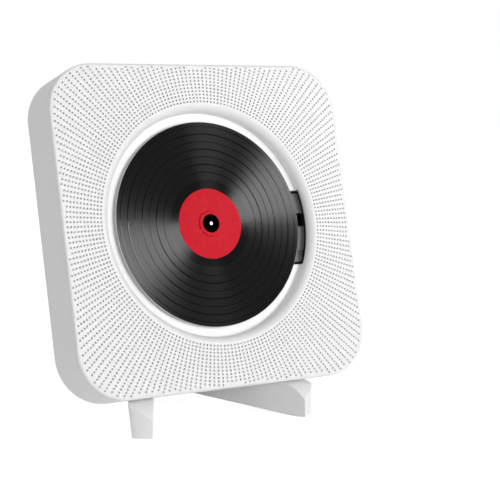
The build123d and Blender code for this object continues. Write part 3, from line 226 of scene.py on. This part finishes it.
def edge_distance(x, z):
    """How far a point of the face lies inside the case's outline."""
    reach = HALF - CASE_CORNER
    beyond_x = max(abs(x) - reach, 0.0)
    beyond_z = max(abs(z + WELL_RISE) - reach, 0.0)
    if beyond_x and beyond_z:
        return CASE_CORNER - math.hypot(beyond_x, beyond_z)
    return HALF - max(abs(x), abs(z + WELL_RISE))


# ---- Front panel ----------------------------------------------------------------------------
def grille_places():
    """Centre and angle of every hole in the face."""
    radius = BOWL_RADIUS + GRILLE_START
    while radius < HALF * math.sqrt(2):
        for spoke in range(GRILLE_SPOKES):
            angle = 2 * math.pi * (spoke + 0.5) / GRILLE_SPOKES
            x, z = radius * math.cos(angle), radius * math.sin(angle)
            if edge_distance(x, z) > GRILLE_MARGIN:
                yield x, z, angle
        radius += GRILLE_PITCH


def fill_plate(builder, loops, depth, front):
    """Fills between an outer loop and the loops inside it, at one depth."""
    points, outlines = [], []
    for loop in loops:
        outlines.append(list(range(len(points), len(points) + len(loop))))
        points += [Vector(p) for p in loop]
    inside_with_holes = 2
    corners, _, faces, *_ = delaunay_2d_cdt(points, [], outlines, inside_with_holes, 1e-5)
    for face in faces:
        outline = [(corners[i].x, depth, corners[i].y) for i in face]
        builder.face(outline if front else outline[::-1])


def front_panel():
    """The face with its holes, the edge round it and the rolled wall of the well."""
    panel = Builder()
    places = list(grille_places())
    holes = [circle(GRILLE_HOLE / 2, HOLE_SIDES, (x, z), angle) for x, z, angle in places]
    lip = [(BOWL_RADIUS * math.cos(angle), BOWL_RADIUS * math.sin(angle))
           for angle in bowl_angles()]
    fill_plate(panel, [rounded_square(PANEL_EDGE), lip] + holes, 0.0, True)
    for hole, (x, z, angle) in zip(holes, places):
        end = at_depth(circle(HOLE_END / 2, HOLE_SIDES, (x, z), angle), HOLE_DEPTH)
        panel.band(at_depth(hole, 0.0), end)
        panel.face(end)
    steps = 6
    edge = [at_depth(rounded_square(PANEL_EDGE * (1 - math.sin(math.pi / 2 * i / steps))),
                     PANEL_EDGE * (1 - math.cos(math.pi / 2 * i / steps)))
            for i in range(steps + 1)]
    edge.append(at_depth(rounded_square(0.0), PANEL_THICK))
    for first, second in zip(edge, edge[1:]):
        panel.band(second, first)
    bowl(panel)
    fill_plate(panel, [rounded_square(0.0), lip], PANEL_THICK, False)
    return panel.object("panel_face")


def roll(radius, first, last, steps=14):
    """(radius, depth) points on the rolled edge's arc between two turns, in degrees."""
    points = []
    for i in range(steps + 1):
        turn = math.radians(first + (last - first) * i / steps)
        points.append((BOWL_RADIUS - radius * math.sin(turn), BOWL_EDGE - radius * math.cos(turn)))
    return points


def bowl(panel):
    """The rolled edge and wall of the well, with the wall cut away over the drive opening."""
    behind = BOWL_EDGE - PANEL_THICK
    front_turn = math.degrees(math.acos((BOWL_EDGE - SLOT_CUT) / BOWL_EDGE))
    back_turn = math.degrees(math.acos((BOWL_EDGE - SLOT_CUT) / behind))
    upper = roll(BOWL_EDGE, 0, front_turn)
    lower = roll(BOWL_EDGE, front_turn, 90, 3)
    lower += [(WELL_RADIUS, WELL_FLOOR), (WELL_RADIUS + PANEL_THICK, WELL_FLOOR)]
    lower += roll(behind, 90, back_turn, 3)
    angles = bowl_angles()
    low, high = slot_ends()
    inside = [low <= angle < high for angle in angles]

    def place(point, angle):
        return point[0] * math.cos(angle), point[1], point[0] * math.sin(angle)

    def strip(profile, start, end):
        for first, second in zip(profile, profile[1:]):
            panel.face([place(first, start), place(first, end), place(second, end),
                        place(second, start)])

    for i, start in enumerate(angles):
        end = angles[(i + 1) % len(angles)]
        strip(upper, start, end)
        strip([lower[0], lower[-1]] if inside[i] else lower, start, end)
        strip(roll(behind, back_turn, 0, 8), start, end)
        if inside[i] and not inside[i - 1]:
            panel.face([place(point, start) for point in lower])
        if inside[i - 1] and not inside[i]:
            panel.face([place(point, start) for point in reversed(lower)])


def slot_ends():
    return math.asin(-SLOT_BOTTOM / WELL_RADIUS), math.asin(SLOT_TOP / WELL_RADIUS)


def bowl_angles():
    """The bowl's segments, with the nearest ones moved to the ends of the drive opening."""
    step = 2 * math.pi / BOWL_SEGMENTS
    angles = [i * step - math.pi for i in range(BOWL_SEGMENTS)]
    for end in slot_ends():
        angles[round((end + math.pi) / step)] = end
    return angles


# ---- Disc -------------------------------------------------------------------------------------
def revolved(name, profile, segments):
    """A closed profile of (radius, depth) points turned about the disc's axis."""
    body = Builder()
    rings = [at_depth(circle(radius, segments), depth) for radius, depth in profile]
    for first, second in zip(rings, rings[1:] + rings[:1]):
        body.band(first, second)
    return body.object(name)


def groove(radius, width, depth):
    """Profile points of one V groove cut into the disc's front, with the flat beside it held."""
    side = width / 2
    return [(radius + side + HOLD, DISC_FRONT), (radius + side, DISC_FRONT),
            (radius, DISC_FRONT + depth),
            (radius - side, DISC_FRONT), (radius - side - HOLD, DISC_FRONT)]


def tracks(bold, fine):
    """Radius of every groove, from the inside out, with the values of its kind."""
    return [(FIRST_BAND + BAND_PITCH / 2 * step, *(fine if step % 2 else bold)) for step in TRACKS]


def disc():
    """The disc with its grooves, which end at a small step down to the plain ring."""
    sunk = DISC_FRONT + DEAD_WAX_STEP
    profile = [(DISC_HOLE, DISC_BACK), (DISC_RADIUS - DISC_EDGE, DISC_BACK),
               (DISC_RADIUS, DISC_BACK - DISC_EDGE), (DISC_RADIUS, DISC_FRONT + DISC_EDGE),
               (DISC_RADIUS - DISC_EDGE, DISC_FRONT)]
    for radius, width, depth in reversed(tracks(BOLD_GROOVE, FINE_GROOVE)):
        profile += groove(radius, width, depth)
    profile += [(DEAD_WAX + DEAD_WAX_SLOPE + HOLD, DISC_FRONT),
                (DEAD_WAX + DEAD_WAX_SLOPE, DISC_FRONT),
                (DEAD_WAX, sunk), (DEAD_WAX - HOLD, sunk), (DISC_HOLE, sunk)]
    return revolved("record_disc", profile[::-1], DISC_SEGMENTS)


def disc_label():
    """The flat label, a little proud of the disc."""
    hole = DISC_HOLE + LABEL_GAP
    profile = [(hole, LABEL_FRONT), (LABEL_RADIUS - LABEL_EDGE, LABEL_FRONT),
               (LABEL_RADIUS, LABEL_FRONT + LABEL_EDGE / 2),
               (LABEL_RADIUS, LABEL_BACK), (hole, LABEL_BACK)]
    return revolved("record_label", profile, DISC_SEGMENTS)


# ---- Materials ----------------------------------------------------------------------------------
def linear(*srgb):
    """A colour written as 0 to 255 display values, as the shader's linear values."""
    values = [c / 255 for c in srgb]
    return [c / 12.92 if c < 0.04045 else ((c + 0.055) / 1.055) ** 2.4 for c in values] + [1.0]


class Shader:
    """One node material with a principled shader and short ways to add nodes to it."""

    def __init__(self, name):
        self.material = bpy.data.materials.new(name)
        self.material.use_nodes = True
        self.nodes = self.material.node_tree.nodes
        self.links = self.material.node_tree.links
        self.bsdf = self.nodes["Principled BSDF"]

    def add(self, kind, **settings):
        node = self.nodes.new(kind)
        for name, value in settings.items():
            setattr(node, name, value)
        return node

    def link(self, source, target):
        self.links.new(source, target)

    def math(self, operation, first, second=None):
        node = self.add("ShaderNodeMath", operation=operation)
        for socket, value in zip(node.inputs, (first, second)):
            if isinstance(value, (int, float)):
                socket.default_value = value
            elif value is not None:
                self.link(value, socket)
        return node.outputs[0]

    def noise(self, scale, detail=3.0):
        place = self.add("ShaderNodeTexCoord")
        noise = self.add("ShaderNodeTexNoise")
        noise.inputs["Scale"].default_value = scale
        noise.inputs["Detail"].default_value = detail
        self.link(place.outputs["Object"], noise.inputs["Vector"])
        return noise.outputs["Fac"]

    def ramp(self, value, *stops):
        """A colour ramp of (position, colour) stops driven by `value`."""
        node = self.add("ShaderNodeValToRGB")
        ramp = node.color_ramp
        while len(ramp.elements) < len(stops):
            ramp.elements.new(0.5)
        for element, (position, colour) in zip(ramp.elements, stops):
            element.position = position
            element.color = colour
        self.link(value, node.inputs["Fac"])
        return node.outputs["Color"]

    def range(self, value, low, high):
        """Maps 0 to 1 onto low to high."""
        node = self.add("ShaderNodeMapRange")
        node.inputs["To Min"].default_value = low
        node.inputs["To Max"].default_value = high
        self.link(value, node.inputs["Value"])
        return node.outputs["Result"]

    def mix(self, factor, first, second):
        """The colour `first` where factor is 0 and the plain colour `second` where it is 1."""
        colour_a, colour_b, colour_result = 6, 7, 2    # sockets that share their names with others
        node = self.add("ShaderNodeMix", data_type="RGBA")
        self.link(factor, node.inputs["Factor"])
        self.link(first, node.inputs[colour_a])
        node.inputs[colour_b].default_value = second
        return node.outputs[colour_result]

    def bump(self, height, distance):
        node = self.add("ShaderNodeBump")
        node.inputs["Distance"].default_value = distance * MM
        node.inputs["Strength"].default_value = 1.0
        self.link(height, node.inputs["Height"])
        self.link(node.outputs["Normal"], self.bsdf.inputs["Normal"])

    def set(self, **values):
        for name, value in values.items():
            self.bsdf.inputs[name.replace("_", " ")].default_value = value


def plastic(name, colour, rough=0.35, shade=0.96, grain=500, grain_depth=0.01, variation=60, spread=0.04):
    """Moulded plastic: faint mottling, uneven gloss and a fine moulded grain."""
    shader = Shader(name)
    dark = [c * shade for c in colour[:3]] + [1.0]
    mottle = shader.noise(variation)
    shader.link(shader.ramp(mottle, (0.3, dark), (0.7, colour)), shader.bsdf.inputs["Base Color"])
    shader.link(shader.range(mottle, rough - spread, rough + spread), shader.bsdf.inputs["Roughness"])
    shader.bump(shader.noise(grain, 2.0), grain_depth)
    return shader.material


def dull(material, level):
    """Lowers the mirror part of a material's gloss."""
    material.node_tree.nodes["Principled BSDF"].inputs["Specular IOR Level"].default_value = level
    return material


def metal(name, colour, rough=0.3, variation=120):
    shader = Shader(name)
    dark = [c * 0.85 for c in colour[:3]] + [1.0]
    patches = shader.noise(variation)
    shader.link(shader.ramp(patches, (0.3, dark), (0.7, colour)), shader.bsdf.inputs["Base Color"])
    shader.link(shader.range(patches, rough - 0.08, rough + 0.08), shader.bsdf.inputs["Roughness"])
    shader.bump(shader.noise(900, 2.0), 0.005)
    shader.set(Metallic=1.0)
    return shader.material


def radius_from_axis(shader):
    """Distance from the disc's axis, in millimetres, for a piece made in the WELL frame."""
    place = shader.add("ShaderNodeTexCoord")
    parts = shader.add("ShaderNodeSeparateXYZ")
    shader.link(place.outputs["Object"], parts.inputs["Vector"])
    across = shader.math("POWER", parts.outputs["X"], 2.0)
    along = shader.math("POWER", parts.outputs["Z"], 2.0)
    length = shader.math("SQRT", shader.math("ADD", across, along))
    return shader.math("DIVIDE", length, MM)


def record_black(name="record_black"):
    """Black disc with stretched highlights, and smoother rings where tracks part, darkened with painted shade."""
    shader = Shader(name)
    radius = radius_from_axis(shader)
    rings = shader.add("ShaderNodeTexNoise", noise_dimensions="1D")
    rings.inputs["Scale"].default_value = 1.4
    rings.inputs["Detail"].default_value = 4.0
    shader.link(radius, rings.inputs["W"])
    tone = rings.outputs["Fac"]
    # This mask of smoother rings also marks where painted shade darkens the black.
    plain = shader.math("MULTIPLY", shader.math("LESS_THAN", radius, DEAD_WAX), PLAIN_GLOSS)
    for ring, width, gloss in tracks(BOLD_RING, FINE_RING):
        apart = shader.math("ABSOLUTE", shader.math("SUBTRACT", radius, ring))
        ring_gloss_and_shade = shader.math("MULTIPLY", shader.math("LESS_THAN", apart, width / 2), gloss)
        plain = shader.math("MAXIMUM", plain, ring_gloss_and_shade)
    black = shader.ramp(tone, (0.3, linear(8, 8, 9)), (0.7, linear(12, 12, 13)))
    # Painted shade: the smoother rings and the ungrooved ring round the label get a darker black.
    black = shader.mix(shader.math("GREATER_THAN", plain, 0.0), black, linear(3, 3, 3))
    rim = shader.math("GREATER_THAN", radius, DISC_RADIUS - DISC_CLEAR)
    shader.link(shader.mix(rim, black, linear(206, 206, 210)), shader.bsdf.inputs["Base Color"])
    shader.link(shader.math("SUBTRACT", shader.range(tone, 0.205, 0.225), plain),
                shader.bsdf.inputs["Roughness"])
    tangent = shader.add("ShaderNodeTangent", direction_type="RADIAL", axis="Y")
    shader.link(tangent.outputs["Tangent"], shader.bsdf.inputs["Tangent"])
    shader.set(Anisotropic=1.0, Anisotropic_Rotation=0.25, Specular_IOR_Level=0.09)
    return shader.material


def label_red(name="label_red"):
    """Printed paper-like label with a faint tooth."""
    shader = Shader(name)
    fibres = shader.noise(260, 5.0)
    shader.link(shader.ramp(fibres, (0.3, linear(205, 26, 42)), (0.7, linear(216, 32, 50))),
                shader.bsdf.inputs["Base Color"])
    shader.link(shader.range(fibres, 0.6, 0.7), shader.bsdf.inputs["Roughness"])
    shader.bump(shader.noise(1500, 2.0), 0.01)
    shader.set(Specular_IOR_Level=0.08)
    return shader.material


def make_materials():
    white = linear(240, 240, 240)
    return {
        "white_shell": dull(plastic("white_shell", white, rough=0.42, shade=0.985), 0.25),
        "white_stand": plastic("white_stand", white, rough=0.38, shade=0.985),
        "white_tray": plastic("white_tray", linear(246, 246, 246), rough=0.45, shade=0.99),
        "white_key": plastic("white_key", linear(236, 236, 236), rough=0.4, shade=0.98),
        "white_connector": plastic("white_connector", linear(225, 225, 222), rough=0.5),
        "black_connector": plastic("black_connector", linear(28, 28, 30), rough=0.5, shade=0.7),
        "black_switch": plastic("black_switch", linear(26, 26, 28), rough=0.45, shade=0.7),
        "grey_drive": plastic("grey_drive", linear(128, 128, 131), rough=0.55, shade=0.6, grain=900,
                              grain_depth=0.12, variation=1500, spread=0.1),
        "black_chassis": plastic("black_chassis", linear(14, 14, 15), rough=0.6, shade=0.6),
        "black_cap": dull(plastic("black_cap", linear(4, 4, 4), rough=0.85, shade=0.7), 0.0),
        "red_hub": label_red("red_hub"),
        "red_label": label_red(),
        "black_disc": record_black(),
        "steel": metal("steel", linear(168, 168, 172), rough=0.4),
        "motor_steel": metal("motor_steel", linear(190, 190, 195), rough=0.35),
        "speaker_steel": plastic("speaker_steel", linear(30, 30, 32), rough=0.4, shade=0.7),
        "speaker_paper": plastic("speaker_paper", linear(40, 40, 43), rough=0.8, shade=0.6, grain=700,
                                 grain_depth=0.1),
        "magnet": plastic("magnet", linear(70, 70, 74), rough=0.6, shade=0.7, grain_depth=0.06),
        "board_green": plastic("board_green", linear(24, 92, 56), rough=0.35, shade=0.7),
        "board_blue": plastic("board_blue", linear(28, 58, 112), rough=0.35, shade=0.7),
        "chip": plastic("chip", linear(30, 30, 31), rough=0.55, shade=0.7),
        "capacitor": plastic("capacitor", linear(34, 36, 60), rough=0.3, shade=0.8),
        "rubber": plastic("rubber", linear(36, 36, 37), rough=0.85, shade=0.7, grain_depth=0.04),
        "nylon": plastic("nylon", linear(226, 222, 208), rough=0.5),
        "sled_black": plastic("sled_black", linear(34, 34, 36), rough=0.5, shade=0.7),
    }


def lens_glass():
    shader = Shader("lens_glass")
    tint = shader.noise(300)
    shader.link(shader.ramp(tint, (0.2, linear(120, 140, 200)), (0.8, linear(150, 130, 210))),
                shader.bsdf.inputs["Base Color"])
    shader.link(shader.range(tint, 0.03, 0.08), shader.bsdf.inputs["Roughness"])
    shader.set(Transmission_Weight=0.6)
    return shader.material


def dress_nodes(materials):
    """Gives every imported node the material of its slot."""
    for part in frame["record"]["subparts"]:
        mesh = NODES[part["node"]].data
        mesh.materials.clear()
        mesh.materials.append(materials[part["material_slot"]])


def soften(name, width, segments=4):
    """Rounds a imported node's sharp edges."""
    node = NODES[name]
    weld = node.modifiers.new("weld", "WELD")
    weld.merge_threshold = 0.01 * MM
    flats = node.modifiers.new("flats", "DECIMATE")
    flats.decimate_type = "DISSOLVE"
    flats.angle_limit = math.radians(1.0)
    bevel = node.modifiers.new("bevel", "BEVEL")
    bevel.width = width * MM
    bevel.segments = segments
    bevel.limit_method = "ANGLE"
    bevel.angle_limit = math.radians(30)


def add_piece(piece, body, slot, material, *nodes):
    """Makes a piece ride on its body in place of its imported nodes."""
    piece.data.materials.append(material)
    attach(piece, body)
    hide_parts(*nodes)


# ---- Stage --------------------------------------------------------------------------------------
def only_seen(shader, seen, other):
    """Mixes two shaders: `seen` for camera, glossy and transmitted rays, `other` for light."""
    path = shader.add("ShaderNodeLightPath")
    mix = shader.add("ShaderNodeMixShader")
    look = shader.math("MAXIMUM", path.outputs["Is Camera Ray"], path.outputs["Is Glossy Ray"])
    look = shader.math("MAXIMUM", look, path.outputs["Is Transmission Ray"])
    shader.link(look, mix.inputs["Fac"])
    shader.link(other, mix.inputs[1])
    shader.link(seen, mix.inputs[2])
    return mix.outputs["Shader"]


def make_floor():
    size = 6.0
    mesh = bpy.data.meshes.new("floor")
    mesh.from_pydata([(-size, -size, 0), (size, -size, 0), (size, size, 0), (-size, size, 0)], [],
                     [(0, 1, 2, 3)])
    floor = bpy.data.objects.new("floor", mesh)
    bpy.context.scene.collection.objects.link(floor)
    shader = Shader("floor_white")
    shader.link(shader.ramp(shader.noise(8), (0.3, linear(249, 249, 249)), (0.7, linear(252, 252, 252))),
                shader.bsdf.inputs["Base Color"])
    shader.set(Roughness=0.9, Specular_IOR_Level=0.1)
    glow = shader.add("ShaderNodeEmission")
    glow.inputs["Strength"].default_value = FLOOR_GLOW
    both = shader.add("ShaderNodeAddShader")
    shader.link(shader.bsdf.outputs["BSDF"], both.inputs[0])
    shader.link(glow.outputs["Emission"], both.inputs[1])
    output = shader.nodes["Material Output"]
    shader.link(only_seen(shader, both.outputs["Shader"], shader.bsdf.outputs["BSDF"]),
                output.inputs["Surface"])
    mesh.materials.append(shader.material)
    floor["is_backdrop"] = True


def make_world():
    world = bpy.data.worlds.new("studio")
    bpy.context.scene.world = world
    world.use_nodes = True
    tree = world.node_tree
    light = tree.nodes["Background"]
    light.inputs["Color"].default_value = (1.0, 1.0, 1.0, 1.0)
    light.inputs["Strength"].default_value = AMBIENT
    seen = tree.nodes.new("ShaderNodeBackground")
    seen.inputs["Color"].default_value = (1.0, 1.0, 1.0, 1.0)
    seen.inputs["Strength"].default_value = 1.0
    path = tree.nodes.new("ShaderNodeLightPath")
    look = path.outputs["Is Camera Ray"]
    for ray in ("Is Glossy Ray", "Is Transmission Ray"):
        either = tree.nodes.new("ShaderNodeMath")
        either.operation = "MAXIMUM"
        tree.links.new(look, either.inputs[0])
        tree.links.new(path.outputs[ray], either.inputs[1])
        look = either.outputs[0]
    mix = tree.nodes.new("ShaderNodeMixShader")
    tree.links.new(look, mix.inputs["Fac"])
    tree.links.new(light.outputs["Background"], mix.inputs[1])
    tree.links.new(seen.outputs["Background"], mix.inputs[2])
    tree.links.new(mix.outputs["Shader"], tree.nodes["World Output"].inputs["Surface"])


def area_light(name, direction, size, power, lights_faces):
    """A square lamp in `direction` of the panel's own frame, aimed at the disc's centre.

    It lights either the surfaces' own colour or only their gloss, never both.
    """
    lamp = bpy.data.lights.new(name, "AREA")
    lamp.size = size
    lamp.energy = power
    obj = bpy.data.objects.new(name, lamp)
    bpy.context.scene.collection.objects.link(obj)
    away = (WELL.to_3x3() @ Vector(direction)).normalized()
    obj.location = ORIGIN + away * LAMP_DISTANCE
    obj.rotation_mode = "QUATERNION"
    obj.rotation_quaternion = away.to_track_quat("Z", "Y")
    obj.visible_diffuse = lights_faces
    obj.visible_glossy = not lights_faces


def make_camera():
    data = bpy.data.cameras.new("camera")
    data.sensor_width = 36.0
    data.lens = CAMERA_LENS
    data.clip_start = 0.01
    camera = bpy.data.objects.new("camera", data)
    bpy.context.scene.collection.objects.link(camera)
    camera.location = FACE_CENTRE + CAMERA_PLACE * MM
    camera.rotation_mode = "QUATERNION"
    camera.rotation_quaternion = CAMERA_AIM.to_track_quat("-Z", "Y")
    bpy.context.scene.camera = camera


# ---- Scene --------------------------------------------------------------------------------------
materials = make_materials()
materials["lens"] = lens_glass()
dress_nodes(materials)
for stand in ("stand_left", "stand_right"):
    soften(stand, STAND_ROUND)
add_piece(front_panel(), "player", "white_shell", materials["white_shell"], "front_panel")
add_piece(disc(), "disc", "black_disc", materials["black_disc"], "disc")
add_piece(disc_label(), "disc", "red_label", materials["red_label"], "disc_label")
make_floor()
make_world()
for lamp in LAMPS:
    area_light(*lamp)
make_camera()
bpy.context.scene.view_settings.view_transform = "Standard"

for low, high in (cad_box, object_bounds()):
    json.dumps([list(low), list(high)]) + "\n"
